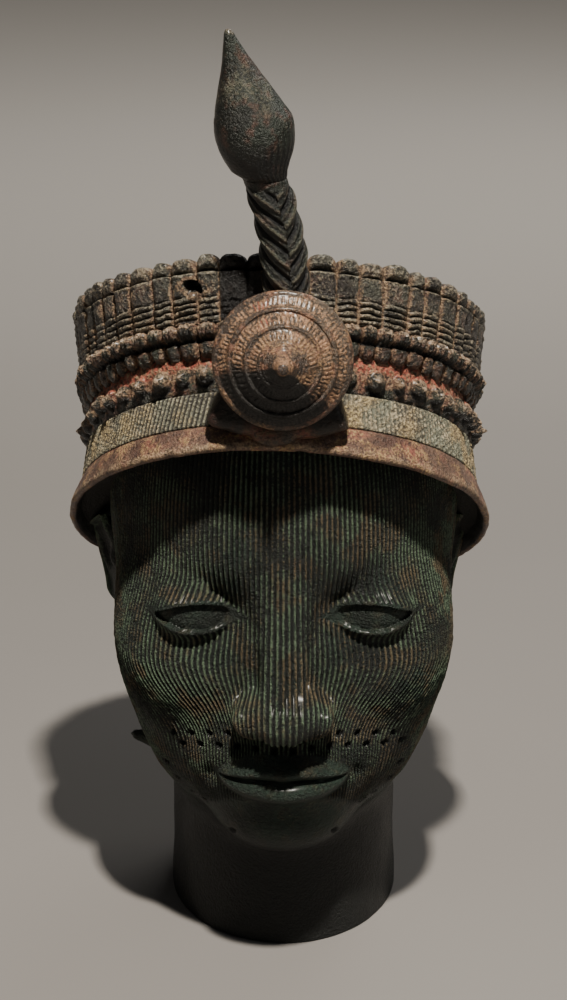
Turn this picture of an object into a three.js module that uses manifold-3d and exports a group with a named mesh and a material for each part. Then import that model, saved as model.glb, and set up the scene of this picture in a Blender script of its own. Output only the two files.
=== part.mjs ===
// A crowned head cast in bronze: head, neck, ears, crown, rosette and plume are one casting.
// Millimetres, +Z up. The origin is the middle of the flat underside of the neck, and the
// face looks along -Y. Every form is a closed solid, and all of them are joined into one.

import * as THREE from 'three';
import { mergeVertices } from 'three/addons/utils/BufferGeometryUtils.js';
import Module from 'manifold-3d';

const wasm = await Module();
wasm.setup();

// Driving dimensions of the whole casting
const NECK_HALF_WIDTH = 43.5;
const NECK_HALF_DEPTH = 57;
const FACE_HALF_WIDTH = 66;
const CHIN_HEIGHT = 43;
const EYE_HEIGHT = 140;
const NOSE_BASE_HEIGHT = 100;
const MOUTH_HEIGHT = 82;
const PLUME_TIP_HEIGHT = 355;

// The crown is a slanted ring: its lip and its rim are high in front and low behind.
const CROWN_SHIFT = -1.5; // the crown sits a little to one side
const CROWN_ROLL = 1.35; // and is a little lower on its +X side, in degrees
const CROWN_WALL = 69.7; // length of the wall in front, from lip to rim
const TIER_LIFT = 1.2; // the tiers between lip and rim sit this much higher,
const SIDE_LIFT = 3.2; // and this much more on the +X side
const LIP = { frontY: -84.4, backY: 78.4, halfWidth: 74.5, frontZ: 206.3, tilt: 34.7 };
const RIM = { frontY: -73, backY: 90, halfWidth: 76, frontZ: 275.1, tilt: 30.4 };
const TUBE_COUNT = 54; // upright tubes of the top tier
const BEAD_COUNT = 72; // beads of the second tier
const KNOB_COUNT = 50; // pointed knobs under the red groove
const PLAIN_COLUMNS = 42; // facets round the plain rings

const ROSETTE = { centre: [-0.2, -92.7, 243.4], radius: 24.4, height: 20, rise: 7.7 };
const BOW = { middle: 243, back: -70, depth: 20 };
const PLUME = {
  root: [1.5, -80, 250],
  stemTop: [-5.6, -84, 304],
  tip: [-18.5, -82, PLUME_TIP_HEIGHT],
  stemRadius: 7.8,
  budRadius: 13.8,
};
const EAR = { centre: [66.5, 13, 137], halfSize: [6, 14, 27], stand: 0.3, flare: 0.17, lean: 0.25 };
const EAR_COVER = 7; // how far the ear goes up inside the crown
const TAB = { tip: [-60.5, 5, 58.8], length: 20, rootRadius: 8.5, tipRadius: 1.8 };
const CASTING_HOLE = { angle: -22.9, height: 58.8, size: [3, 4.8, 2.4] };

const radians = THREE.MathUtils.degToRad;
const clamp = THREE.MathUtils.clamp;
const mix = THREE.MathUtils.lerp;
const ease = THREE.MathUtils.smoothstep;

// Joining and carving of rounded forms, by their distance functions

function smoothUnion(a, b, reach) {
  const h = clamp(0.5 + 0.5 * (b - a) / reach, 0, 1);
  return mix(b, a, h) - reach * h * (1 - h);
}

function smoothCarve(a, b, reach) {
  return -smoothUnion(-a, b, reach);
}

function ellipsoid(x, y, z, [cx, cy, cz], [rx, ry, rz]) {
  const near = Math.hypot((x - cx) / rx, (y - cy) / ry, (z - cz) / rz);
  const far = Math.hypot((x - cx) / rx ** 2, (y - cy) / ry ** 2, (z - cz) / rz ** 2);
  return near * (near - 1) / Math.max(far, 1e-6);
}

// A bar from one ball to another of a different radius
function taperedBar(x, y, z, [ax, ay, az], ra, [bx, by, bz], rb) {
  const [dx, dy, dz] = [bx - ax, by - ay, bz - az];
  const along = (x - ax) * dx + (y - ay) * dy + (z - az) * dz;
  const t = clamp(along / (dx * dx + dy * dy + dz * dz), 0, 1);
  return Math.hypot(x - ax - t * dx, y - ay - t * dy, z - az - t * dz) - mix(ra, rb, t);
}

function neckForm(x, y, z) {
  const flare = 1 + 0.02 * ease(22 - z, 0, 22);
  const a = NECK_HALF_WIDTH * flare;
  const b = NECK_HALF_DEPTH * flare;
  return (Math.hypot(x / a, y / b) - 1) * a;
}

// Skull, jaw, cheeks, chin and the mound that carries the lips
function baseForm(x, y, z) {
  let d = ellipsoid(x, y, z, [0, 2, 165], [FACE_HALF_WIDTH, 82, 112]);
  d = smoothUnion(d, ellipsoid(x, y, z, [0, -20, 97], [55, 58, 54]), 14);
  d = smoothUnion(d, ellipsoid(x, y, z, [31, -36, 119], [31, 37, 36]), 16);
  d = smoothUnion(d, ellipsoid(x, y, z, [27, -22, 84], [20, 36, 30]), 18);
  d = smoothUnion(d, ellipsoid(x, y, z, [0, -59, CHIN_HEIGHT + 17], [25, 23, 17]), 14);
  d = smoothUnion(d, ellipsoid(x, y, z, [0, -57, MOUTH_HEIGHT + 3], [33, 28, 23]), 14);
  return smoothUnion(d, neckForm(x, y, z), 9);
}

// Less than zero on the lids, more than zero in the almond between them
function lidGap(x, z) {
  const u = (x - 31.5) / 15;
  const arch = Math.max(1 - u * u, 0);
  const level = EYE_HEIGHT - 0.6 * u;
  const gap = Math.min(level + 5.4 * arch ** 0.75 - z, z - level + 4.4 * arch ** 0.8);
  return gap - 4 * Math.max(Math.abs(u) - 0.96, 0);
}

function eyes(d, x, y, z) {
  d = smoothCarve(d, ellipsoid(x, y, z, [30, -92, EYE_HEIGHT + 2], [23, 22.5, 16]), 11);
  const ball = ellipsoid(x + 0.25 * (y + 70), y, z, [31.8, -54, EYE_HEIGHT], [18.6, 19.3, 15]);
  const lids = Math.max(ball - 2, lidGap(x, z));
  return Math.min(smoothUnion(d, lids, 2.2), ball);
}

function nose(d, x, y, z) {
  const base = NOSE_BASE_HEIGHT;
  let n = taperedBar(x, y, z, [0, -72, base + 54], 8, [0, -87, base + 10], 8.5);
  n = smoothUnion(n, ellipsoid(x, y, z, [0, -91, base + 7.5], [10.5, 11, 9]), 6);
  n = smoothUnion(n, ellipsoid(x, y, z, [11, -84.5, base + 6], [7.2, 9, 7]), 5);
  n = smoothUnion(d, n, 7);
  return smoothCarve(n, ellipsoid(x, y, z, [6.3, -89, base - 2], [3.4, 4.6, 3.4]), 1.5);
}

function lips(d, x, y, z) {
  const m = MOUTH_HEIGHT;
  const upper = taperedBar(x, y, z, [4.5, -84.6, m + 3.4], 4.8, [22, -77.5, m + 0.6], 1.9);
  const lower = taperedBar(x, y, z, [0, -83.6, m - 4.8], 5.6, [18, -78, m - 2.6], 2.6);
  const parting = taperedBar(x, y, z, [0, -91, m], 1.5, [25, -78, m - 0.3], 1);
  const philtrum = taperedBar(x, y, z, [0, -91, m + 14], 1.6, [0, -91.5, m + 7], 2.4);
  d = smoothUnion(smoothUnion(d, upper, 1.6), lower, 1.8);
  d = smoothCarve(smoothCarve(d, parting, 1), philtrum, 2);
  return smoothCarve(d, ellipsoid(x, y, z, [0, -91.5, m - 14], [17, 10, 4.5]), 5);
}

function headForm(x, y, z) {
  const side = Math.abs(x);
  let d = baseForm(side, y, z);
  d = eyes(d, side, y, z);
  d = nose(d, side, y, z);
  return lips(d, side, y, z);
}

// Triangles between two rings of points, which may have different numbers of points.
// Of the two ways to go on, the one with the shorter edge across is taken.
function bandFaces(points, lower, upper) {
  const gap = (a, b) => Math.hypot(
    points[a][0] - points[b][0], points[a][1] - points[b][1], points[a][2] - points[b][2],
  );
  const faces = [];
  let i = 0;
  let j = 0;
  while (i < lower.count || j < upper.count) {
    const a = lower.first + i % lower.count;
    const b = upper.first + j % upper.count;
    const nextA = lower.first + (i + 1) % lower.count;
    const nextB = upper.first + (j + 1) % upper.count;
    if (j >= upper.count || (i < lower.count && gap(nextA, b) <= gap(a, nextB))) {
      faces.push(a, nextA, b);
      i += 1;
    } else {
      faces.push(a, nextB, b);
      j += 1;
    }
  }
  return faces;
}

// A closed skin over rings of points that run upwards, with a cap at each end
function closedSkin(rows, bottomCap, topCap) {
  const points = [...rows.flat(), bottomCap, topCap];
  const rings = [];
  let first = 0;
  for (const row of rows) {
    rings.push({ first, count: row.length });
    first += row.length;
  }
  const faces = [];
  for (let r = 0; r < rings.length - 1; r += 1) {
    faces.push(...bandFaces(points, rings[r], rings[r + 1]));
  }
  const [bottom, top] = [first, first + 1];
  const last = rings[rings.length - 1];
  for (let c = 0; c < rings[0].count; c += 1) {
    faces.push(bottom, (c + 1) % rings[0].count, c);
  }
  for (let c = 0; c < last.count; c += 1) {
    faces.push(top, last.first + c, last.first + (c + 1) % last.count);
  }
  const geometry = new THREE.BufferGeometry();
  geometry.setAttribute('position', new THREE.Float32BufferAttribute(points.flat(), 3));
  geometry.setIndex(faces);
  return geometry;
}

function toSolid(source) {
  const geometry = source.clone();
  geometry.deleteAttribute('normal');
  geometry.deleteAttribute('uv');
  const merged = mergeVertices(geometry, 1e-4);
  return new wasm.Manifold(new wasm.Mesh({
    numProp: 3,
    vertProperties: new Float32Array(merged.attributes.position.array),
    triVerts: new Uint32Array(merged.index.array),
  }));
}

function fromSolid(solid) {
  const mesh = solid.getMesh();
  const geometry = new THREE.BufferGeometry();
  geometry.setAttribute('position', new THREE.Float32BufferAttribute(mesh.vertProperties, 3));
  geometry.setIndex(Array.from(mesh.triVerts));
  geometry.computeVertexNormals();
  return geometry;
}

// Points of the crown

// A point at an angle round the crown (0 in front), a height up the wall and a step outwards
function crownPoint(angle, height, out) {
  const t = height / CROWN_WALL;
  const frontY = mix(LIP.frontY, RIM.frontY, t);
  const backY = mix(LIP.backY, RIM.backY, t);
  const slope = Math.tan(radians(mix(LIP.tilt, RIM.tilt, t)));
  const across = (mix(LIP.halfWidth, RIM.halfWidth, t) + out) * Math.sin(angle);
  const y = (frontY + backY) / 2 - ((backY - frontY) / 2 + out) * Math.cos(angle);
  const lift = (TIER_LIFT + SIDE_LIFT * Math.max(Math.sin(angle), 0) ** 1.5)
    * Math.sin(Math.PI * clamp(t, 0, 1)) ** 0.7;
  const drop = (y - frontY) * slope + across * Math.tan(radians(CROWN_ROLL)) - lift;
  return [CROWN_SHIFT + across, y, mix(LIP.frontZ, RIM.frontZ, t) - drop];
}

// Angles that space the columns evenly along the slanted ring
function evenAngles(count) {
  const steps = 720;
  const reach = [0];
  for (let i = 1; i <= steps; i += 1) {
    const a = crownPoint((i - 1) / steps * 2 * Math.PI, CROWN_WALL / 2, 0);
    const b = crownPoint(i / steps * 2 * Math.PI, CROWN_WALL / 2, 0);
    reach.push(reach[i - 1] + Math.hypot(b[0] - a[0], b[1] - a[1], b[2] - a[2]));
  }
  const angles = [];
  let i = 0;
  for (let c = 0; c < count; c += 1) {
    const want = reach[steps] * c / count;
    while (reach[i + 1] < want) {
      i += 1;
    }
    angles.push((i + (want - reach[i]) / (reach[i + 1] - reach[i])) / steps * 2 * Math.PI);
  }
  return angles;
}

// A ring of the crown: its height, its step outwards, its column count and its valleys' depth
function crownRing({ height, out, columns = PLAIN_COLUMNS, valley = 0, lift = 0 }) {
  return evenAngles(columns).map((angle, c) => {
    const inValley = columns > PLAIN_COLUMNS && c % 2 === 0;
    return crownPoint(angle, height - (inValley ? lift : 0), out - (inValley ? valley : 0));
  });
}

function crownMiddle(height) {
  const front = crownPoint(0, height, 0);
  const back = crownPoint(Math.PI, height, 0);
  return front.map((v, axis) => (v + back[axis]) / 2);
}

function crown() {
  const plain = (height, out) => ({ height, out });
  const knobs = (height, out, valley) => ({ height, out, valley, columns: 2 * KNOB_COUNT });
  const beads = (height, out, valley) => ({ height, out, valley, columns: 2 * BEAD_COUNT });
  const tubes = (height, out, valley, lift) => ({ height, out, valley, lift, columns: 2 * TUBE_COUNT });
  const rings = [
    // underside of the brim, its rounded lip and its slope
    plain(9.5, -13), plain(3.7, 1.5), plain(0, 3.2), plain(0.4, 5), plain(2.5, 5.8), plain(10.1, 0.4),
    // corded band between two grooves
    plain(10.9, -0.8), plain(11.6, 0), plain(22.8, -2.4), plain(23.6, -3.6),
    knobs(24.2, -2.8, 0.8), knobs(28.4, 1, 3.8), knobs(32, -2.8, 0.6),
    // painted groove
    plain(34.4, -3.4),
    // two rows of beads
    beads(35.2, -2.2, 0.6), beads(38, 0, 1.8), beads(41, -1, 1), beads(43.9, 1.2, 2.2),
    beads(46.6, -0.6, 1),
    // tubes with a bead on each end
    tubes(47.6, -0.6, 1), tubes(63.6, 1.2, 1.8), tubes(64.6, 0.4, 1.2),
    tubes(67.2, 2, 2), tubes(70.3, 0.4, 1, 1.2), tubes(69.9, -4.5, 0.4, 1.2),
    // shallow hollow top inside the rim
    plain(66, -9), plain(67.6, -36),
  ];
  const rows = rings.map(crownRing);
  return toSolid(closedSkin(rows, crownMiddle(11.6), crownMiddle(68.6)));
}

// Head

// Rays leave the upright axis of the head and lean down under the nose and under the chin
function headRay(angle, height) {
  const front = Math.max(Math.cos(angle), 0);
  const underChin = Math.sin(Math.PI * clamp((height - 8) / 68, 0, 1)) ** 2;
  const underNose = Math.exp(-(((height - NOSE_BASE_HEIGHT) / 9) ** 2) - (angle / 0.4) ** 2);
  return { front, dip: 0.75 * underChin * front + 0.3 * underNose };
}

function headPoint(angle, height) {
  const { front, dip } = headRay(angle, height);
  const guide = mix(60, 80, front);
  const at = (r) => [
    r * Math.sin(angle), -6 - r * Math.cos(angle), height + (guide - r) * dip,
  ];
  let outer = 112;
  while (headForm(...at(outer)) > 0 && outer > 20) {
    outer -= 1.5;
  }
  let inner = outer;
  outer += 1.5;
  for (let i = 0; i < 18; i += 1) {
    const half = (inner + outer) / 2;
    if (headForm(...at(half)) > 0) {
      outer = half;
    } else {
      inner = half;
    }
  }
  return at(inner);
}

// Closer columns over the face, and rows gathered at the mouth, the nose and the eyes
function headColumns(count) {
  const angles = [];
  for (let c = 0; c < count; c += 1) {
    const u = Math.PI * (2 * c / count - 1);
    angles.push(u - 0.5 * Math.sin(u));
  }
  return angles;
}

function headHeights() {
  return [
    0, 14, 30, 42, 50, 58, 66, 71, 75, 79, 82, 85.5, 89, 94, 98, 102, 107, 113, 121, 129, 133,
    136.5, 140, 144.5, 149, 154, 163, 178, 200, 222,
  ];
}

function head() {
  const angles = headColumns(58);
  const heights = headHeights();
  const top = heights[heights.length - 1];
  const rows = heights.map((height) => angles.map((angle) => {
    // the rows slant with the crown: full height in front, half of it behind
    const slant = mix(1, 0.76 + 0.235 * Math.cos(angle), ease(height, 0, top));
    const point = headPoint(angle, height * slant);
    return height === 0 ? [point[0], point[1], 0] : point;
  }));
  return toSolid(closedSkin(rows, [0, 0, 0], [0, -2, 176]));
}

// Ear: a dished leaf that leans back, its rear edge and its top standing off the head

function ear(side) {
  const { centre, halfSize, stand, flare, lean } = EAR;
  const leaf = new THREE.SphereGeometry(1, 12, 9);
  leaf.scale(...halfSize);
  const bowl = new THREE.SphereGeometry(1, 8, 6);
  bowl.scale(4.5, 8.5, 16);
  bowl.translate(halfSize[0], -1, 2);
  const place = new THREE.Matrix4().makeTranslation(...centre)
    .multiply(new THREE.Matrix4().makeShear(0, 0, stand, 0, flare, lean));
  const shape = toSolid(leaf.applyMatrix4(place)).subtract(toSolid(bowl.applyMatrix4(place)));
  // the crown comes down over the top of the ear, which ends just inside it
  const tilt = radians(LIP.tilt);
  const down = [0, -Math.sin(tilt), -Math.cos(tilt)];
  const shown = shape.trimByPlane(down, down[1] * LIP.frontY + down[2] * (LIP.frontZ + EAR_COVER));
  return (side < 0 ? shown.mirror([1, 0, 0]) : shown).translate([CROWN_SHIFT, 0, 0]);
}

// Rosette: rings turned round a nearly level axis, with a low bow behind its lower edge

function rosette() {
  const { centre, radius, height, rise } = ROSETTE;
  const profile = [
    [0, -18], [0.7, -18], [0.96, -3], [1, 0], [0.96, 1.4], [0.9, 1.9], [0.8, 3.7], [0.77, 5.1], [0.71, 5],
    [0.58, 7.6], [0.53, 8.8], [0.46, 9.5], [0.38, 11], [0.33, 12.1], [0.22, 13.6], [0.12, 16.6],
    [0.07, height - 0.8], [0, height],
  ];
  const turned = new THREE.LatheGeometry(profile.map(([r, h]) => new THREE.Vector2(r * radius, h)), 26);
  turned.rotateX(radians(180 - rise));
  turned.translate(...centre);
  return toSolid(turned);
}

function bow() {
  const outline = new THREE.Shape();
  outline.moveTo(-6.5, -33.8);
  outline.lineTo(2, -32.8);
  outline.lineTo(13, -29);
  outline.lineTo(22, -26);
  outline.lineTo(20, -19);
  outline.lineTo(12, -11);
  outline.lineTo(-14, -11);
  outline.lineTo(-21, -14);
  outline.lineTo(-25.8, -23.5);
  outline.lineTo(-19, -26.5);
  outline.lineTo(-12, -29);
  outline.lineTo(-6.5, -33.8);
  const slab = new THREE.ExtrudeGeometry(outline, {
    depth: BOW.depth, bevelThickness: 2, bevelSize: 0.8, bevelSegments: 1,
  });
  slab.rotateX(Math.PI / 2);
  slab.translate(ROSETTE.centre[0], BOW.back, BOW.middle);
  return toSolid(slab);
}

// Plume: a plaited stem that leans a little, with a pointed bud that leans more

function plumePoint(height) {
  const { root, stemTop, tip } = PLUME;
  const [low, high] = height < stemTop[2] ? [root, stemTop] : [stemTop, tip];
  const t = (height - low[2]) / (high[2] - low[2]);
  return [mix(low[0], high[0], t), mix(low[1], high[1], t), height];
}

function plume() {
  const { root, stemTop, tip, stemRadius, budRadius } = PLUME;
  const bud = tip[2] - stemTop[2];
  const sides = 12;
  const plaitTurn = Math.PI / 2; // each step of the plait turns its oval section a quarter
  const ring = (height, radius, turn, oval) => {
    const [cx, cy] = plumePoint(height);
    return Array.from({ length: sides }, (_, c) => {
      const angle = 2 * Math.PI * c / sides;
      const r = radius * (1 + oval * Math.cos(2 * (angle + turn)));
      return [cx + r * Math.sin(angle), cy - r * Math.cos(angle), height];
    });
  };
  const rows = [];
  for (let i = 0; i <= 12; i += 1) {
    rows.push(ring(mix(root[2], stemTop[2] + 1, i / 12), stemRadius, plaitTurn * i, 0.08));
  }
  const budShape = [
    [0.06, 0.68], [0.13, 0.82], [0.24, 0.96], [0.36, 1], [0.48, 0.88], [0.6, 0.64], [0.74, 0.36],
    [0.88, 0.19], [0.96, 0.12],
  ];
  budShape.forEach(([t, r]) => rows.push(ring(stemTop[2] + t * bud, r * budRadius, 0, 0)));
  return toSolid(closedSkin(rows, root, tip));
}

// Marks of the casting: a hole through one tube of the crown and a ragged tab behind the jaw

function castingHole() {
  const { angle, height, size } = CASTING_HOLE;
  const hole = new THREE.IcosahedronGeometry(1, 0);
  hole.scale(...size);
  hole.translate(...crownPoint(radians(angle), height, 1));
  return toSolid(hole);
}

function jawTab() {
  const { tip, length, rootRadius, tipRadius } = TAB;
  const tab = new THREE.CylinderGeometry(tipRadius, rootRadius, length, 8);
  tab.rotateZ(Math.PI / 2);
  tab.scale(1, 0.6, 0.85);
  // its upper edge is level, and its lower edge rises to the tip
  const rise = 0.85 * (rootRadius - tipRadius) / length;
  tab.applyMatrix4(new THREE.Matrix4().makeShear(0, -rise, 0, 0, 0, 0));
  tab.translate(tip[0] + length / 2, tip[1], tip[2] - rise * length / 2);
  return toSolid(tab);
}

const bronze = new THREE.MeshStandardMaterial({ color: 0x2e3328, roughness: 0.55, metalness: 0.6 });

const FINEST_FACET = 0.15; // smaller steps of the surface are evened out
const added = [ear(-1), ear(1), crown(), rosette(), bow(), plume(), jawTab()];
const joined = added.reduce((all, one) => all.add(one), head());
const solid = joined.subtract(castingHole()).simplify(FINEST_FACET);
const casting = new THREE.Mesh(fromSolid(solid), bronze);
casting.name = 'crowned_head';

const group = new THREE.Group();
group.add(casting);

export default group;
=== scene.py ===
import math
import bpy
import bmesh
import numpy as np
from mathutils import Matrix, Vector


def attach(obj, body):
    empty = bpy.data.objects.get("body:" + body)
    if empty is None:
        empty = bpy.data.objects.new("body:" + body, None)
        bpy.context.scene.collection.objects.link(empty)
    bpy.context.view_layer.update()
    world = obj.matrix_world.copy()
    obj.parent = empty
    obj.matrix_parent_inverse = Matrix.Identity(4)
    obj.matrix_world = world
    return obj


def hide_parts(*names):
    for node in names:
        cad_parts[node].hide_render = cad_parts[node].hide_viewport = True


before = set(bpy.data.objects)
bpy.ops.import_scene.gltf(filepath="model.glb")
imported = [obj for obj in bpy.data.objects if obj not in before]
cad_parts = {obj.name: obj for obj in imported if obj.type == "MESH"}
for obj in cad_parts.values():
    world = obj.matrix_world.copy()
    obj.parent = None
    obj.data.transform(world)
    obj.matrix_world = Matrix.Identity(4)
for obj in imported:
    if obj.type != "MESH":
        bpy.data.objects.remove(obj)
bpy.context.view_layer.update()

mm = 0.001
print("frame loaded")

# the whole head, in millimetres: the face looks along -Y
head = {
    "neckWidth": 87, "neckDepth": 114, "faceWidth": 132, "chin": 43, "eyes": 140,
    "noseBase": 100, "mouth": 82, "top": 222,
}

# the crown is a slanted ring between its lip and its rim, a little lower on its +X side
crown = {
    "shift": -1.5, "roll": 1.35, "wall": 69.7, "lift": 1.2, "sideLift": 3.2,
    "lip": {"frontY": -84.4, "backY": 78.4, "halfWidth": 74.5, "frontZ": 206.3, "tilt": 34.7},
    "rim": {"frontY": -73, "backY": 90, "halfWidth": 76, "frontZ": 275.1, "tilt": 30.4},
}


def clamp(x):
    return np.clip(x, 0, 1)


def ease(x, low, high):
    t = clamp((x - low) / (high - low))
    return t * t * (3 - 2 * t)


def mix(a, b, t):
    return a + (b - a) * t


def bell(x, width):
    return np.exp(-(x / width) ** 2)


def softNoise(points, size, seed=0):
    # smooth noise from -1 to 1, in cells of a size, the same on every run
    q = points / size + 64
    cell = np.floor(q).astype(np.int64)
    f = q - cell
    f = f * f * (3 - 2 * f)
    total = np.zeros(len(points))
    for corner in range(8):
        step = np.array([corner & 1, corner >> 1 & 1, corner >> 2])
        key = (cell + step) @ np.array([73856093, 19349663, 83492791]) + seed * 2654435
        key = (key ^ (key >> 13)) * 1274126177 & 0xffffffff
        value = ((key ^ (key >> 16)) & 0xffff) / 32767.5 - 1
        total += value * np.prod(np.where(step, f, 1 - f), axis=1)
    return total


def roughCast(points, seed=0):
    # the slight waviness of a surface modelled in wax
    return 0.6 * softNoise(points, 9, seed) + 0.4 * softNoise(points, 3.5, seed + 1)


def corroded(points, seed):
    # lumps and pits of an old cast surface, finer and deeper than roughCast
    lumps = 0.45 * softNoise(points, 4, seed) + 0.45 * softNoise(points, 1.8, seed + 1)
    lumps += 0.35 * softNoise(points, 1.1, seed + 3)
    return lumps - 1.6 * clamp(softNoise(points, 2.4, seed + 2) - 0.45)


def pieceFrom(name, bm, material):
    bmesh.ops.recalc_face_normals(bm, faces=bm.faces)
    for face in bm.faces:
        face.smooth = True
    for edge in bm.edges:
        edge.smooth = edge.calc_face_angle(0) < math.radians(70)
    mesh = bpy.data.meshes.new(name)
    bm.to_mesh(mesh)
    bm.free()
    piece = bpy.data.objects.new(name, mesh)
    bpy.context.collection.objects.link(piece)
    mesh.materials.append(material)
    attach(piece, "root")
    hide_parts("crowned_head")
    print(name, len(mesh.polygons), "faces")
    return piece


# marks: the first darkens real hollows and also paints shade, the second lightens rubbed places and also paints
# highlights
marksUsed = ("hollow", "wearAndHighlight", "paint", "dusty")


def addGrid(bm, columns, rows, shape):
    # a grid of columns and rows whose points go where shape(column, row) puts them
    sheet = bmesh.new()
    bmesh.ops.create_grid(sheet, x_segments=columns, y_segments=rows, size=1)
    mesh = bpy.data.meshes.new("sheet")
    sheet.to_mesh(mesh)
    sheet.free()
    flat = np.empty(len(mesh.vertices) * 3, np.float32)
    mesh.vertices.foreach_get("co", flat)
    flat = (flat.reshape(-1, 3).astype(float) + 1) / 2
    points, marks = shape(np.rint(flat[:, 0] * columns), np.rint(flat[:, 1] * rows))
    mesh.vertices.foreach_set("co", (points * mm).astype(np.float32).ravel())
    for mark in marksUsed:
        values = np.zeros(len(points)) + marks.get(mark, 0)
        mesh.attributes.new(mark, "FLOAT", "POINT").data.foreach_set("value", values.astype(np.float32))
    bm.from_mesh(mesh)
    bpy.data.meshes.remove(mesh)


def gridPiece(name, material, *grids):
    bm = bmesh.new()
    for columns, rows, shape in grids:
        addGrid(bm, columns, rows, shape)
    bmesh.ops.remove_doubles(bm, verts=bm.verts, dist=2e-6)
    bmesh.ops.holes_fill(bm, edges=[e for e in bm.edges if e.is_boundary])
    return pieceFrom(name, bm, material)


# shader maths


class Wire:
    # one socket of a material, with the operators that the materials use
    def __init__(self, tree, socket):
        self.tree = tree
        self.socket = socket

    def math(self, operation, *others, clampIt=False):
        node = self.tree.nodes.new("ShaderNodeMath")
        node.operation = operation
        node.use_clamp = clampIt
        for i, value in enumerate((self, *others)):
            plug(self.tree, node.inputs[i], value)
        return Wire(self.tree, node.outputs[0])

    def __add__(self, other):
        return self.math("ADD", other)

    __radd__ = __add__

    def __mul__(self, other):
        return self.math("MULTIPLY", other)

    __rmul__ = __mul__

    def __sub__(self, other):
        return self.math("SUBTRACT", other)

    def __rsub__(self, other):
        return (self * -1) + other

    def __pow__(self, other):
        return self.math("POWER", other)

    def cut(self, low, high):
        # 0 below low, 1 above high, smooth between
        node = self.tree.nodes.new("ShaderNodeMapRange")
        node.interpolation_type = "SMOOTHSTEP"
        for i, value in enumerate((self, low, high, 0, 1)):
            plug(self.tree, node.inputs[i], value)
        return Wire(self.tree, node.outputs[0])

    def clamped(self):
        return self.math("ADD", 0, clampIt=True)


def plug(tree, socket, value):
    if isinstance(value, Wire):
        tree.links.new(value.socket, socket)
    elif isinstance(value, (tuple, list)) and len(value) == 3 and socket.type == "RGBA":
        socket.default_value = (*value, 1)
    else:
        socket.default_value = value


class Recipe:
    # the nodes of one material
    def __init__(self, name):
        self.material = bpy.data.materials.new(name)
        self.material.use_nodes = True
        self.tree = self.material.node_tree
        self.shader = next(n for n in self.tree.nodes if n.type == "BSDF_PRINCIPLED")
        self.place = self.add("TexCoord", out="Object")

    def add(self, kind, settings=None, sockets=None, out=0):
        node = self.tree.nodes.new("ShaderNode" + kind)
        for key, value in (settings or {}).items():
            setattr(node, key, value)
        for key, value in (sockets or {}).items():
            plug(self.tree, node.inputs[key], value)
        return Wire(self.tree, node.outputs[out])

    def noise(self, size, detail=3, rough=0.55, place=None, stretch=None):
        # noise with features of a size in millimetres, about 0.5 in the middle
        place = place or self.place
        if stretch:
            place = self.add("Mapping", {}, {"Vector": place, "Scale": stretch})
        sockets = {"Vector": place, "Scale": 1000 / size, "Detail": detail, "Roughness": rough}
        return self.add("TexNoise", {}, sockets)

    def mark(self, name):
        return self.add("Attribute", {"attribute_name": name}, out="Fac")

    def blend(self, factor, a, b, kind="MIX"):
        settings = {"data_type": "RGBA", "blend_type": kind, "clamp_factor": True}
        node = self.tree.nodes.new("ShaderNodeMix")
        for key, value in settings.items():
            setattr(node, key, value)
        plug(self.tree, node.inputs[0], factor)
        plug(self.tree, node.inputs[6], a)
        plug(self.tree, node.inputs[7], b)
        return Wire(self.tree, node.outputs[2])

    def bump(self, height, depth, distance=mm):
        sockets = {"Height": height, "Strength": depth, "Distance": distance}
        return self.add("Bump", {}, sockets)

    def finish(self, **sockets):
        for key, value in sockets.items():
            plug(self.tree, self.shader.inputs[key.replace("_", " ")], value)
        return self.material


# patina of each piece: colours are linear
facePatina = {
    "dark": (0.0060, 0.0100, 0.0066), "tint": (0.014, 0.028, 0.019), "dust": (0.108, 0.158, 0.096),
    "crust": (0.128, 0.096, 0.052),
    "brown": (0.036, 0.024, 0.012), "hollow": (0.0010, 0.0016, 0.0012), "paint": (0.10, 0.030, 0.016),
    "soil": (0.05, 0.045, 0.026), "dustAmount": 0.8, "brownAmount": 0.45, "roughness": 0.42,
    "grain": 1.15, "pitted": 0.45, "metal": 0.35, "coat": 0.1,
}
tubePatina = {
    "dark": (0.030, 0.024, 0.020), "tint": (0.060, 0.060, 0.045), "dust": (0.40, 0.345, 0.24),
    "crust": (0.25, 0.235, 0.18),
    "brown": (0.12, 0.060, 0.042), "hollow": (0.004, 0.003, 0.0025), "paint": (0.30, 0.070, 0.045),
    "soil": (0.36, 0.25, 0.145), "dustAmount": 0.72, "brownAmount": 0.7, "roughness": 0.26,
    "grain": 1.3, "pitted": 0.7, "metal": 0.15, "coat": 0.15,
}
beadPatina = {
    "dark": (0.018, 0.019, 0.014), "tint": (0.036, 0.044, 0.030), "dust": (0.48, 0.355, 0.24),
    "crust": (0.33, 0.25, 0.175),
    "brown": (0.14, 0.062, 0.042), "hollow": (0.004, 0.0035, 0.003), "paint": (0.38, 0.09, 0.057),
    "soil": (0.34, 0.225, 0.13), "dustAmount": 0.78, "brownAmount": 0.7, "roughness": 0.22,
    "grain": 1.3, "pitted": 0.7, "metal": 0.2, "coat": 0.2,
}
cordPatina = {
    "dark": (0.075, 0.070, 0.052), "tint": (0.14, 0.145, 0.105), "dust": (0.46, 0.38, 0.245),
    "crust": (0.31, 0.295, 0.205),
    "brown": (0.16, 0.115, 0.070), "hollow": (0.016, 0.013, 0.010), "paint": (0.36, 0.10, 0.06),
    "soil": (0.44, 0.34, 0.17), "dustAmount": 0.85, "brownAmount": 0.5, "roughness": 0.5,
    "grain": 0.9, "pitted": 0.6, "metal": 0.1, "coat": 0.05,
}
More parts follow.
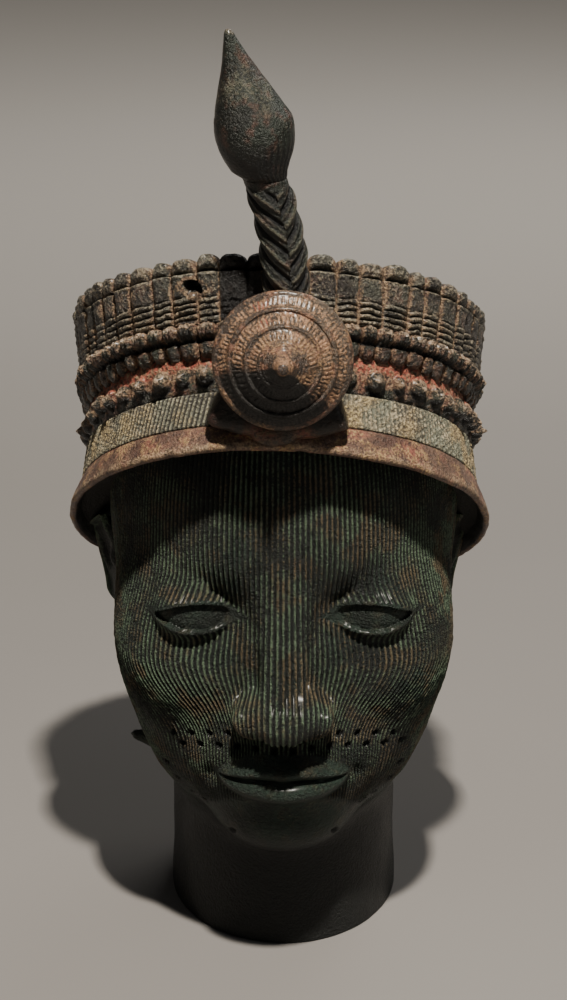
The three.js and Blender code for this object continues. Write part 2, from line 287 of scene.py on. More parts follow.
brimPatina = {
    "dark": (0.075, 0.036, 0.026), "tint": (0.125, 0.072, 0.049), "dust": (0.46, 0.34, 0.205),
    "crust": (0.34, 0.20, 0.13),
    "brown": (0.20, 0.082, 0.056), "hollow": (0.006, 0.006, 0.0045), "paint": (0.30, 0.085, 0.055),
    "soil": (0.40, 0.27, 0.12), "dustAmount": 0.5, "brownAmount": 0.75, "roughness": 0.4,
    "grain": 0.9, "pitted": 0.45, "metal": 0.15, "coat": 0.12,
}
rosettePatina = {
    "dark": (0.042, 0.029, 0.021), "tint": (0.085, 0.062, 0.042), "dust": (0.43, 0.25, 0.137),
    "crust": (0.28, 0.158, 0.092),
    "brown": (0.16, 0.070, 0.042), "hollow": (0.006, 0.0045, 0.003), "paint": (0.36, 0.075, 0.042),
    "soil": (0.30, 0.19, 0.095), "dustAmount": 0.7, "brownAmount": 0.8, "roughness": 0.28,
    "grain": 0.8, "pitted": 0.5, "metal": 0.3, "coat": 0.2,
}
plumePatina = {
    "dark": (0.0080, 0.0085, 0.0062), "tint": (0.017, 0.023, 0.016), "dust": (0.115, 0.108, 0.072),
    "crust": (0.10, 0.072, 0.047),
    "brown": (0.052, 0.023, 0.015), "hollow": (0.0012, 0.0012, 0.0010), "paint": (0.14, 0.032, 0.016),
    "soil": (0.08, 0.062, 0.034), "dustAmount": 0.48, "brownAmount": 0.8, "roughness": 0.28,
    "grain": 0.8, "pitted": 0.5, "metal": 0.4, "coat": 0.25,
}


def bronze(name, look):
    r = Recipe(name)
    hollow, wearAndHighlight, paint, dusty = [r.mark(mark) for mark in marksUsed]
    broad = r.noise(24, 4)
    middle = r.noise(6, 5, 0.6)
    fine = r.noise(1.8, 4, 0.65)
    grains = r.noise(0.9, 3, 0.7)
    colour = r.blend(broad.cut(0.4, 0.62), look["dark"], look["tint"])
    colour = r.blend(middle.cut(0.5, 0.66) * look["brownAmount"], colour, look["brown"])
    # light crust on rubbed places and in random grains, also where highlights are painted
    crust = (wearAndHighlight * 0.55 + middle * 0.45 + grains * 1.1 - 0.55).cut(0.41, 0.66)
    dust = r.blend(r.noise(11, 3).cut(0.45, 0.6), look["dust"], look["crust"])
    colour = r.blend(crust * look["dustAmount"], colour, dust)
    # dry soil that stayed in the gaps
    soil = (dusty * 1.1 + fine * 0.8 + grains * 0.5 - 0.9).cut(0.05, 0.6)
    colour = r.blend(soil * 0.85, colour, r.blend(grains.cut(0.38, 0.62), look["brown"], look["soil"]))
    stain = (paint * 1.05 + fine * 0.8 + middle * 0.5 - 0.9).cut(0.1, 0.65)
    colour = r.blend(stain * 0.85, colour, r.blend(fine.cut(0.42, 0.62), look["paint"], look["soil"]))
    pits = r.noise(1.3, 2, 0.6).cut(0.51, 0.6) * look["pitted"]
    colour = r.blend(pits, colour, look["hollow"])
    # near-black in real hollows and where shade is painted
    colour = r.blend((hollow * 1.1 + fine * 0.35 - 0.25).cut(0.1, 0.95), colour, look["hollow"])
    gloss = look["roughness"] + 0.25 * grains + 0.08 * crust + 0.25 * soil + 0.25 * stain
    grain = fine * 0.8 + grains * 0.75 + middle * 0.6
    return r.finish(
        Base_Color=colour, Roughness=gloss.clamped(), Metallic=look["metal"],
        Coat_Weight=look["coat"], Coat_Roughness=0.22,
        Normal=r.bump(grain, look["grain"], 1.1 * mm),
    )


# head


def smoothUnion(a, b, reach):
    h = clamp(0.5 + 0.5 * (b - a) / reach)
    return mix(b, a, h) - reach * h * (1 - h)


def smoothCarve(a, b, reach):
    return -smoothUnion(-a, b, reach)


def ball(p, centre, radii):
    q = [(p[i] - centre[i]) / radii[i] for i in range(3)]
    near = np.sqrt(q[0] ** 2 + q[1] ** 2 + q[2] ** 2)
    far = np.sqrt(sum((q[i] / radii[i]) ** 2 for i in range(3)))
    return near * (near - 1) / np.maximum(far, 1e-6)


def bar(p, a, ra, b, rb):
    d = [b[i] - a[i] for i in range(3)]
    along = sum((p[i] - a[i]) * d[i] for i in range(3))
    t = clamp(along / sum(c * c for c in d))
    off = np.sqrt(sum((p[i] - a[i] - t * d[i]) ** 2 for i in range(3)))
    return off - mix(ra, rb, t)


def neckForm(p):
    flare = 1 + 0.02 * ease(22 - p[2], 0, 22)
    a, b = head["neckWidth"] / 2 * flare, head["neckDepth"] / 2 * flare
    return (np.sqrt((p[0] / a) ** 2 + (p[1] / b) ** 2) - 1) * a


def skullForm(p):
    mouth, chin = head["mouth"], head["chin"]
    d = ball(p, (0, 2, 165), (head["faceWidth"] / 2, 82, 112))
    d = smoothUnion(d, ball(p, (0, -20, 97), (55, 58, 54)), 14)
    d = smoothUnion(d, ball(p, (31, -36, 119), (31, 37, 36)), 16)
    d = smoothUnion(d, ball(p, (27, -22, 84), (20, 36, 30)), 18)
    d = smoothUnion(d, ball(p, (0, -59, chin + 17), (25, 23, 17)), 14)
    d = smoothUnion(d, ball(p, (0, -57, mouth + 3), (33, 28, 23)), 14)
    return smoothUnion(d, neckForm(p), 9)


def lidGap(x, z):
    # below zero on the lids, above zero in the almond between them
    u = (x - 31.5) / 15
    arch = np.maximum(1 - u * u, 0)
    level = head["eyes"] - 0.6 * u
    gap = np.minimum(level + 5.4 * arch ** 0.75 - z, z - level + 4.4 * arch ** 0.8)
    return gap - 4 * np.maximum(np.abs(u) - 0.96, 0)


def eyeForm(d, p):
    x, y, z = p
    eyes = head["eyes"]
    d = smoothCarve(d, ball(p, (30, -92, eyes + 2), (23, 22.5, 16)), 11)
    globe = ball((x + 0.25 * (y + 70), y, z), (31.8, -54, eyes), (18.6, 19.3, 15))
    gap = lidGap(x, z)
    corner = 1 - 0.55 * clamp(np.abs(x - 31.5) / 16) ** 3
    lids = np.maximum(globe - (1.6 + 0.9 * bell(gap + 1.2, 1.2)) * corner, gap)
    d = smoothUnion(d, lids, 2.2)
    u = (x - 31.5) / 17.5
    crease = z - eyes - 10.6 * np.maximum(1 - u * u, 0) ** 0.6
    d = d + 0.9 * bell(crease, 1.3) * ease(1 - np.abs(u), 0, 0.35) * (y < -40)
    return np.minimum(d, globe)


def noseForm(d, p):
    base = head["noseBase"]
    n = bar(p, (0, -72, base + 54), 8, (0, -87, base + 10), 8.5)
    n = smoothUnion(n, ball(p, (0, -91, base + 7.5), (10.5, 11, 9)), 6)
    n = smoothUnion(n, ball(p, (11, -84.5, base + 6), (7.2, 9, 7)), 5)
    n = smoothUnion(d, n, 7)
    n = smoothCarve(n, bar(p, (18.8, -83, base + 12), 0.8, (19.8, -81, base + 1), 1.2), 3)
    return smoothCarve(n, ball(p, (6.3, -89, base - 2), (3.6, 4.8, 3.6)), 1.5)


def lipLines(x):
    # height of the parting, and how far the upper and the lower lip reach from it
    side = clamp(x / 24.5)
    parting = head["mouth"] - 0.6 * side ** 2 + 0.45 * bell(x - 8, 7)
    upper = 8.6 * np.maximum(1 - side ** 2, 0) ** 0.75 - 1.1 * bell(x, 4)
    lower = 11 * np.maximum(1 - side ** 2, 0) ** 0.65
    return side, parting, upper, lower


def lipForm(d, p):
    # full lips: two soft rolls that meet in a slightly bowed parting
    x, y, z = p
    m = head["mouth"]
    side, parting, upper, lower = lipLines(x)
    rise = (z - parting) / np.maximum(upper, 0.3)
    fall = (parting - z) / np.maximum(lower, 0.3)
    full = np.maximum(1 - side ** 2, 0) ** 0.6
    roll = mix(0.3, 1, np.sin(np.pi / 2 * clamp(rise / 0.45)) ** 0.8) * (1 - ease(rise, 0.5, 1.1))
    under = mix(0.27, 1, np.sin(np.pi / 2 * clamp(fall / 0.42)) ** 0.8) * (1 - ease(fall, 0.5, 1.15))
    bulge = np.where(z > parting, 5.6 * roll, 6.4 * under) * full
    border = 0.6 * bell(rise - 1, 0.14) * full * (z > parting)
    front = ease(-y, 55, 66)
    d = d - (bulge + border) * front
    d = d + 1.5 * bell(x, 2.4) * bell(z - m - 14, 5) * front  # furrow under the nose
    d = d + 1.3 * bell(x - 26, 3) * bell(z - m + 0.5, 3) * front
    return smoothCarve(d, ball(p, (0, -92, m - 15.5), (17, 9, 4.5)), 6)


def headForm(p):
    p = (np.abs(p[0]), p[1], p[2])
    return lipForm(noseForm(eyeForm(skullForm(p), p), p), p)


# a striation is 4 columns wide; on the cheeks the columns bend in towards the mouth
striation = {
    "columns": 936, "front": 520, "rows": 166, "backRows": 83, "width": 4, "depth": 0.78,
    "straight": [0, 8, 24, 45, 70, 100, 140, 180], "bent": [0, 6.5, 15, 29, 56, 93, 138, 180],
}
headRows = {"row": [0, 12, 30, 97, 108, 148, 166], "height": [0, 40, 70, 110, 128, 152, 222]}
holes = {"radius": 1.15, "depth": 1.9, "pitch": 6.8, "rowStep": 4.3}


def headAngles(column, z):
    # column 0 is in front; on the cheeks the columns are drawn in towards the mouth
    angle = (column * 360 / striation["columns"] + 180) % 360 - 180
    bent = np.interp(np.abs(angle), striation["straight"], striation["bent"]) * np.sign(angle)
    pull = (1 - ease(z, 90, 128)) * ease(z, 30, 62)
    return np.radians(mix(angle, bent, pull))


def headRay(angle, z, r):
    front = np.maximum(np.cos(angle), 0)
    underChin = np.sin(np.pi * clamp((z - 8) / 68)) ** 2
    underNose = np.exp(-(((z - head["noseBase"]) / 9) ** 2) - (angle / 0.4) ** 2)
    dip = 0.75 * underChin * front + 0.3 * underNose
    return np.array([r * np.sin(angle), -6 - r * np.cos(angle), z + (mix(60, 80, front) - r) * dip])


def headHit(angle, z):
    # where a ray from outside first meets the head
    outer = np.full(len(z), 112.0)
    live = np.arange(len(z))
    while len(live):
        d = headForm(headRay(angle[live], z[live], outer[live]))
        live = live[(d > 0) & (outer[live] > 22)]
        outer[live] -= 2
    inner = outer.copy()
    outer = outer + 2
    for _ in range(16):
        half = (inner + outer) / 2
        outside = headForm(headRay(angle, z, half)) > 0
        outer = np.where(outside, half, outer)
        inner = np.where(outside, inner, half)
    return headRay(angle, z, inner)


def beardHoles():
    m = head["mouth"]
    places = []
    for row in range(2):
        for i in range(-6, 7):
            x = (i + 0.5 * row) * holes["pitch"]
            if abs(x) < 47:
                places.append((x, m + 17 - row * holes["rowStep"] - 0.0042 * x * x - 2 * bell(x, 10)))
    for side in (-1, 1):
        for x, z in ((44, m - 8), (40, m - 15), (34, m - 21), (27, m - 25), (19, m - 27)):
            places.append((side * x, z))
    return places


def headSkin(column, z):
    # points and marks of the head's skin, at whole columns and any heights
    angle = headAngles(column, z)
    ground = z == 0
    z = z * mix(1, 0.76 + 0.235 * np.cos(angle), ease(z, 0, head["top"]))  # the rows slant as the crown does
    p = headHit(angle, z)
    x, y, h = p
    here = headForm(p)
    normal = np.array([headForm(p + np.eye(3)[i][:, None] * 0.25) - here for i in range(3)])
    normal /= np.maximum(np.linalg.norm(normal, axis=0), 1e-9)
    side = np.abs(x)
    # where the striations stop: lips, chin, eyes, under the jaw
    _, parting, upper, lower = lipLines(side)
    near = np.maximum(h - parting - upper, parting - lower - h)
    lips = (1 - ease(near, 0.8, 1.8)) * (1 - ease(side, 25, 26.5)) * ease(-y, 50, 60)
    chin = clamp((1.25 - ((x / 30) ** 2 + ((h - 52) / 22) ** 2)) / 0.25) * ease(-y, 40, 60)
    gap = lidGap(side, h)
    globe = ease(gap, -2, -1.1) * ease(-y, 55, 62)
    under = ease(-normal[2], 0.45, 0.7) * (h < 75)
    low = 1 - ease(h, 46 + 0.25 * (y + 60), 58 + 0.25 * (y + 60))
    lined = clamp(1 - np.maximum.reduce([lips, chin, globe, under, low]))
    # a narrow round ridge between grooves, uneven as if pressed in by hand
    phase = np.rint(np.abs(column)).astype(int) % striation["width"]
    groove = np.choose(phase, [1.0, 0.5, 0.0, 0.5])
    depth = striation["depth"] * (1 + 0.35 * softNoise(p.T, 13, 5) + 0.25 * softNoise(p.T, 2.6, 6))
    out = lined * depth * (groove - 0.6)
    out += 0.2 * roughCast(p.T, 3) + 0.18 * softNoise(p.T, 1.5, 4) * lined
    pit = np.zeros(len(z))
    for hx, hz in beardHoles():
        away = np.sqrt((x - hx) ** 2 * 0.9 + (h - hz) ** 2)
        pit = np.maximum(pit, np.exp(-(away / holes["radius"]) ** 4) * (y < -30))
    out -= holes["depth"] * pit
    moved = (p + normal * out).T
    moved[ground, 2] = 0
    neck = 1 - ease(h, 38, 62)
    # painted shade: the eye openings between the lids, the neck and the downward-facing parts below the mouth are
    # darkened; the ridge tops are lightened, partly as wear and partly as painted highlight
    dark = 0.3 * ease(gap, -0.4, 0.3) * (y < -55) + 0.8 * neck + 0.3 * ease(-normal[2], -0.1, 0.5) * (h < 75)
    marks = {
        "hollow": clamp(lined * (1 - groove) * 1.05 + 1.2 * pit + dark),
        "wearAndHighlight": clamp(lined * groove * (0.74 + 0.5 * softNoise(p.T, 14, 7)) + 0.15 * (1 - lined) * (1 - neck)),
        "dusty": clamp(0.55 * softNoise(p.T, 30, 8)) * lined,
    }
    return moved, marks


def headPart(first, last, rows):
    # the skin between two columns, closed through the upright axis of the head
    def shape(column, row):
        z = np.interp(row / rows * headRows["row"][-1], headRows["row"], headRows["height"])
        skin = (column > 0) & (column < last - first + 2)
        points = np.zeros((len(z), 3))
        marks = {mark: np.zeros(len(z)) for mark in marksUsed}
        points[skin], found = headSkin(column[skin] - 1 + first, z[skin])
        for mark, values in found.items():
            marks[mark][skin] = values
        points[~skin] = np.array([0 * z, 0 * z - 6, z * 0.76]).T[~skin]
        return points, marks
    return last - first + 2, rows, shape


material = {
    "face": bronze("face_patina", facePatina), "tube": bronze("tube_patina", tubePatina),
    "bead": bronze("bead_patina", beadPatina),
    "cord": bronze("cord_patina", cordPatina), "brim": bronze("brim_patina", brimPatina),
    "rosette": bronze("rosette_patina", rosettePatina), "plume": bronze("plume_patina", plumePatina),
}

halfFront = striation["front"] // 2
gridPiece("head_front", material["face"], headPart(-halfFront, halfFront, striation["rows"]))
backEnd = striation["columns"] - halfFront
gridPiece("head_back", material["face"], headPart(halfFront, backEnd, striation["backRows"]))

# ears: a dished leaf with a rolled rim, leaning back and standing off the head at its rear edge
ear = {
    "height": 54, "width": 29, "thick": 7, "centre": (66, 12.5, 137), "lean": 13, "stand": 17,
    "flare": 0.17, "cover": 6.5,
}


def earShape(side):
    def shape(column, row):
        a = column / 96 * 2 * np.pi
        t = row / 44
        face = clamp(t / 0.68)  # 0 in the middle of the front, 1 at the rim
        behind = clamp((t - 0.68) / 0.32)
        r = np.where(t < 0.68, face, 1 - behind)
        # outline: round above, narrow lobe below
        up, across = np.cos(a), np.sin(a)
        wide = ear["width"] / 2 * (1 + 0.16 * up - 0.1 * ease(-up, 0.2, 1))
        px = r * across * wide
        pz = r * up * ear["height"] / 2 - 2 * r * across * ease(-up, 0, 1)
        rim = 2.4 * bell(r - 0.88, 0.11) * ease(up + 0.75 * across, -0.9, -0.2)
        fold = 1.8 * bell(r - 0.56, 0.12) * ease(across, -0.5, 0.2) * ease(up, -0.9, -0.3)
        bowl = -3.4 * bell(np.hypot(px + 2, pz + 3) / 8.5, 1)
        tragus = 2.6 * bell(px + ear["width"] * 0.36, 3) * bell(pz + 5, 5)
        lobe = 1.5 * bell(pz + 22, 6)
        front = rim + fold + bowl + tragus + lobe + 2.6 * (1 - r ** 4)
        depth = np.where(t < 0.68, front, mix(front, -ear["thick"] * (1 - r ** 6), behind ** 0.5))
        lean, stand = math.radians(ear["lean"]), math.radians(ear["stand"])
        back = px * math.cos(lean) + pz * math.sin(lean)
        high = pz * math.cos(lean) - px * math.sin(lean)
        cx, cy, cz = ear["centre"]
        x = cx + depth * math.cos(stand) + back * math.sin(stand) + ear["flare"] * high
        y = cy + back * math.cos(stand) - depth * math.sin(stand)
        # the crown comes down over the top of the ear
        lip = crown["lip"]
        roof = lip["frontZ"] + ear["cover"] - (y - lip["frontY"]) * math.tan(math.radians(lip["tilt"]))
        p = np.array([x * side + crown["shift"], y, np.minimum(cz + high, roof)]).T
        p += 0.25 * roughCast(p, 9)[:, None]
        marks = {"hollow": clamp(-bowl / 4 + 0.3 * (rim < 0.4)), "wearAndHighlight": clamp(rim / 2.4 + fold / 2)}
        return p, marks
    return shape


gridPiece("ears", material["face"], (96, 44, earShape(-1)), (96, 44, earShape(1)))

# crown


def crownPoint(angle, height, out):
    # angle 0 in front, height up the wall from the lip, out from the wall
    t = height / crown["wall"]
    lip, rim = crown["lip"], crown["rim"]
    frontY = mix(lip["frontY"], rim["frontY"], t)
    backY = mix(lip["backY"], rim["backY"], t)
    slope = np.tan(np.radians(mix(lip["tilt"], rim["tilt"], t)))
    y = (frontY + backY) / 2 - ((backY - frontY) / 2 + out) * np.cos(angle)
    x = (mix(lip["halfWidth"], rim["halfWidth"], t) + out) * np.sin(angle)
    drop = (y - frontY) * slope + x * math.tan(math.radians(crown["roll"]))
    # the tiers between lip and rim sit higher, most of all on the +X side
    lift = crown["lift"] + crown["sideLift"] * np.maximum(np.sin(angle), 0) ** 1.5
    drop = drop - lift * np.sin(np.pi * clamp(t)) ** 0.7
    return np.array([crown["shift"] + x, y, mix(lip["frontZ"], rim["frontZ"], t) - drop]).T


def evenTable():
    angle = np.linspace(0, 2 * np.pi, 1441)
    ring = crownPoint(angle, np.full(1441, crown["wall"] / 2), np.zeros(1441))
    reach = np.concatenate([[0], np.cumsum(np.linalg.norm(np.diff(ring, axis=0), axis=1))])
    return angle, reach / reach[-1]


tableAngle, tableReach = evenTable()


def evenAngle(u):
    # u runs evenly along the slanted ring, from 0 to 1
    return np.interp(u % 1, tableReach, tableAngle) + 2 * np.pi * np.floor(u)


def along(profile, row):
    # height and step outwards of a row, from a list of (row, height, out)
    table = np.array(profile, float)
    return np.interp(row, table[:, 0], table[:, 1]), np.interp(row, table[:, 0], table[:, 2])


def jitter(count, amount, seed):
    return np.random.default_rng(seed).uniform(-amount, amount, count)


def repeated(column, count, each, shake, seed):
    # which repeat a column is in, how far across it is, and its place round the ring
    place = column / each
    which = np.floor(place + 1e-6).astype(int) % count
    edges = np.arange(count + 1) + np.append(jitter(count, shake, seed), 0)
    edges[-1] = count + edges[0]
    return which, place % 1, np.interp(place, np.arange(count + 1), edges) / count


def roundness(across, power=2.4):
    return clamp(1 - np.abs(2 * across - 1) ** power)


tubes = {
    "count": 54, "each": 24, "valley": 2.3, "barFrom": 47.2, "barTo": 55.9, "bars": 4, "barDepth": 1.3,
    "groove": 64.7, "grooveDepth": 1.5,
    "profile": [
        (0, 48.6, -12), (1, 46.8, -3), (2, 46.8, -0.8), (32, 56, 0.2), (42, 63.4, 0.8), (48, 65.4, 0.6),
        (52, 67.1, 1.5), (57, 69.4, 1.5), (60, 70.5, 0.6), (62, 70.8, -0.9), (64, 70.5, -3.2),
        (66, 68.6, -5), (68, 65, -6), (69, 61, -12), (70, 48.6, -12),
    ],
}
# a flaw of the casting: a ragged hole through one tube
flaw = {"angle": -22.9, "height": 58.8, "wide": 3.4, "tall": 2.3, "depth": 5}


def tubeShape(column, row):
    n = tubes["count"]
    which, across, u = repeated(column, n, tubes["each"], 0.13, 11)
    h, out = along(tubes["profile"], row)
    outer = ease(out, -4.5, -0.5)
    top = ease(h, 64.4, 65.6)
    bulge = mix(roundness(across, 4) ** 0.7, roundness(across, 2.5) ** 0.6, top)
    pitch = (tubes["barTo"] - tubes["barFrom"]) / tubes["bars"]
    shift = jitter(n, 0.5, 12)[which] + (across - 0.5) * jitter(n, 0.9, 13)[which]
    q = (h - tubes["barFrom"] - shift) / pitch
    q += 0.2 * softNoise(np.array([column * 0.4, h, h]).T, 3, 19)
    inBars = ease(q, -0.1, 0.1) * (1 - ease(q, tubes["bars"] - 0.1, tubes["bars"] + 0.1))
    ridge = np.abs(np.sin(np.pi * q)) ** 0.55
    strength = 1 + jitter(n, 0.55, 14)[which]
    spread = ease(bulge, 0.25, 0.8)
    bars = tubes["barDepth"] * (ridge - 0.8) * inBars * strength * spread
    neck = h - tubes["groove"] - jitter(n, 0.5, 15)[which]
    nick = bell(neck, 0.55) * spread
    grooved = tubes["grooveDepth"] * nick * (1 + jitter(n, 0.5, 16)[which]) - 0.45 * bell(neck + 1.1, 0.5)
    size = jitter(n, 0.35, 17)[which]
    step = (bulge - 1) * mix(tubes["valley"] * 0.7, tubes["valley"] * 1.25, top) + bars - grooved + size
    h = h + top * (jitter(n, 0.7, 18)[which] - 2 * (1 - bulge))
    p = crownPoint(evenAngle(u), h, out + step * outer)
    p = crownPoint(evenAngle(u), h, out + (step + mix(0.52, 0.7, top) * corroded(p, 20)) * outer)
    # the casting flaw
    angle = math.radians(flaw["angle"])
    centre = crownPoint(angle, flaw["height"], 1)
    away = np.hypot((p[:, 0] - centre[0]) / flaw["wide"], (p[:, 2] - centre[2]) / flaw["tall"])
    away += 0.3 * softNoise(p, 1.5, 24) + 3 * (p[:, 1] > 0)
    pit = (1 - ease(away, 0.72, 1.05)) * outer
    p += np.outer(pit * flaw["depth"], [-math.sin(angle), math.cos(angle), 0])
    barGap = inBars * (1 - ridge) * 1.4 * spread
    # painted shadow of the plume: the stretch of tubes beside it is darkened
    turn = np.degrees(evenAngle(u))
    paintedPlumeShadow = ease(turn, 343.6, 345) * (1 - ease(turn, 354.5, 356))
    # painted shadow in the nick under the bead ends; the rounded top ends are lightened a little, partly as wear and
    # partly as painted light from above
    marks = {
        "hollow": clamp(barGap + 0.9 * nick + 1.5 * pit + 0.85 * paintedPlumeShadow) * outer,
        "wearAndHighlight": clamp(0.34 + 0.2 * top * bulge + 0.3 * ridge * inBars + 0.5 * bell(neck + 1.1, 0.5) - 0.5 * paintedPlumeShadow) * outer,
        "paint": 0.5 * clamp(softNoise(p, 12, 21)) * outer,
        "dusty": clamp(1.1 * (1 - bulge) ** 0.7 + 0.5 * softNoise(p, 6, 23) + bell(away - 1.4, 0.35) - 0.7 * paintedPlumeShadow) * outer,
    }
    return p, marks


beads = {
    "count": 72, "each": 16, "valley": 2.4, "waist": 41,
    "profile": [
        (0, 39, -12), (1, 35.1, -4.5), (2, 34.9, -2.8), (6, 36.2, -1.3), (12, 39.4, -0.6), (15, 40.8, -1.3),
        (17, 41.5, -0.9), (20, 42.6, 0.7), (24, 44.5, 1.4), (28, 46.2, 0.5), (30, 47.1, -1.2), (31, 47.2, -3),
        (32, 45.4, -12), (33, 39, -12),
    ],
}


def beadShape(column, row):
    # an upper row of fluted beads over a lower row of short tubes with round ends
    n = beads["count"]
    which, across, u = repeated(column, n, beads["each"], 0.16, 31)
    h, out = along(beads["profile"], row)
    outer = ease(out, -5, -2)
    upper = ease(h, beads["waist"] - 1, beads["waist"] + 0.7)
    low = 1 - ease(h, 35, 39)
    bulge = roundness(across, mix(2.6, 2.2, upper)) ** 0.6
    size = mix(jitter(n, 0.5, 32)[which], jitter(n, 0.5, 33)[which], upper)
    flute = np.cos(2 * np.pi * (4 * across + jitter(n, 0.5, 37)[which])) * upper
    step = (bulge - 1) * beads["valley"] * mix(0.8, 1, upper) + size + 0.55 * flute * bulge
    lean = (h - beads["waist"]) * jitter(n, 0.014, 34)[which] * bulge / n
    waist = bell(h - beads["waist"] - jitter(n, 0.6, 35)[which], 0.6)
    step -= 1.1 * waist * (0.4 + 0.6 * bulge)
    h = h + 2.6 * (1 - bulge) * low + jitter(n, 0.7, 36)[which] * low - 0.9 * (1 - bulge) * ease(h, 45.4, 47)
    p = crownPoint(evenAngle(u + lean), h, out + step * outer)
    p = crownPoint(evenAngle(u + lean), h, out + (step + 0.7 * corroded(p, 40)) * outer)
    # painted shade under the upper beads; their upper halves are lightened, partly as wear and partly as painted light
    # from above
    under = ease(h, 42.9, 41.2) * upper
    marks = {
        "hollow": clamp(0.9 * waist + 0.6 * under * (1 - 0.6 * bulge) + 0.45 * clamp(-flute)) * outer,
        "wearAndHighlight": clamp(0.25 + 0.45 * bulge * upper * ease(h, 43, 46)) * outer,
        "paint": clamp(0.9 * low * (1 - bulge) + 0.45 * softNoise(p, 9, 41)) * (1 - upper) * outer,
        "dusty": clamp(1.15 * (1 - bulge) ** 0.6 + 0.5 * ease(h, 46, 47) + 0.3 * softNoise(p, 6, 42)) * outer,
    }
    return p, marks


knobs = {
    "count": 50, "each": 24, "height": 4.3, "radius": 3.25, "centre": 28.9, "droop": 0.8,
    "profile": [
        (0, 25.8, -12), (1, 22.9, -4.6), (2, 23, -3.9), (5, 24.6, -3.1), (25, 33, -3.1), (28, 35.6, -3.6),
        (29, 37, -4), (30, 36, -12), (31, 25.8, -12),
    ],
}


def knobShape(column, row):
    # domes with a nipple, each with painted shade under it, on a shelf that ends in a groove painted red
    n = knobs["count"]
    which, across, u = repeated(column, n, knobs["each"], 0.12, 51)
    h, out = along(knobs["profile"], row)
    outer = ease(out, -6, -4)
    angle = evenAngle(u)
    side = (across - 0.5 - jitter(n, 0.06, 55)[which]) * 500 / n
    rise = h - knobs["centre"] - jitter(n, 0.6, 52)[which]
    broken = bell(np.degrees(angle) - 84, 9)  # ragged bits at one end of the row
    away = np.hypot(side, rise * 0.9) / (knobs["radius"] * (1 + jitter(n, 0.12, 53)[which]))
    dome = np.sqrt(np.maximum(1 - away ** 2, 0))
    nipple = bell(away, 0.3)
    spike = (0.7 * dome + 0.3 * nipple) * knobs["height"] * (1 + jitter(n, 0.22, 54)[which] + 0.4 * broken)
    drop = knobs["droop"] * dome * outer
    p = crownPoint(angle, h - drop, out + spike * outer)
    rough = (0.75 + 0.6 * broken) * corroded(p, 60)
    p = crownPoint(angle, h - drop, out + (spike + rough) * outer)
    # painted shade on the lower side of each dome and in the groove along the bottom of the shelf; the upper half of
    # each dome is lightened, partly as wear and partly as painted light from above
    below = ease(1.45 - away, 0, 0.4) * ease(-rise, 0.2, 2.6)
    marks = {
        "hollow": clamp(0.95 * below + 0.6 * bell(h - 23.2, 0.7)) * outer,
        "wearAndHighlight": clamp(0.25 + 0.7 * nipple + 0.4 * dome * ease(rise, -1.5, 1.5)) * outer,
        "paint": clamp((0.95 * ease(h, 30, 33) + 0.35) * (1 - 0.7 * dome) + 0.4 * softNoise(p, 7, 61)) * outer,
        "dusty": clamp(0.75 * (1 - 0.6 * dome) * ease(rise, -4, -1) + 0.4 * softNoise(p, 5, 62)) * outer,
    }
    return p, marks


cords = {
    "count": 270, "each": 6, "depth": 0.8, "from": 10.8, "twist": 1.7, "slant": 0.2,
    "profile": [
        (0, 12.7, -12), (1, 10.6, -2.4), (2, 10.6, -0.6), (4, 11, 0.1), (28, 22.4, -2.1), (30, 23, -2.9),
        (31, 23, -4), (32, 20.8, -12), (33, 12.7, -12),
    ],
}


def cordShape(column, row):
    # fine twisted cords side by side, which become an uneven net on the right and behind
    u = column / (cords["count"] * cords["each"])
    h, out = along(cords["profile"], row)
    outer = ease(out, -3.6, -1.8)
    across = (column % cords["each"]) / cords["each"]
    angle = evenAngle(u)
    net = ease(np.sin(angle), 0.05, 0.5)
    crest = 0.5 - 0.5 * np.cos(2 * np.pi * across)
    twist = 0.5 + 0.5 * np.cos(2 * np.pi * (h / cords["twist"] + 0.7 * across + np.floor(column / cords["each"]) * 0.37))
    dots = crest * (0.5 - 0.5 * np.cos(2 * np.pi * h / 1.9 + np.pi * (np.floor(column / cords["each"]) % 2)))
    relief = mix(crest * (0.62 + 0.38 * twist), 0.35 + 0.22 * crest + 0.4 * dots, net)
    lean = (h - cords["from"]) * cords["slant"] * (1 - net) / 490
    p = crownPoint(evenAngle(u + lean - 0.0015), h, out + outer * cords["depth"] * (relief - 0.5))
    rough = 0.15 * roughCast(p, 71) + mix(0.16, 0.42, net) * corroded(p, 73)
    p = crownPoint(evenAngle(u + lean - 0.0015), h, out + outer * (cords["depth"] * (relief - 0.5) + rough))
    marks = {
        "hollow": clamp(mix(0.9, 0.5, net) - 1.5 * relief) * outer + 0.5 * ease(h, 21.8, 23) * outer,
        "wearAndHighlight": clamp(relief * 0.85) * outer,
        "dusty": clamp(0.25 + 0.8 * softNoise(p, 8, 74)) * outer,
    }
    return p, marks


brim = {
    "columns": 480,
    "profile": [
        (0, 11.6, -12), (1, 10.8, -2.5), (2, 10.5, 0.1), (3, 9.7, 0.9), (15, 2.3, 5.3), (17, 1.05, 5.8),
        (19, 0.2, 5.5), (21, -0.1, 4.6), (23, 0.3, 3.5), (25, 1.5, 2.4), (27, 3.4, 1), (33, 9.5, -13),
        (34, 11.6, -12),
    ],
}


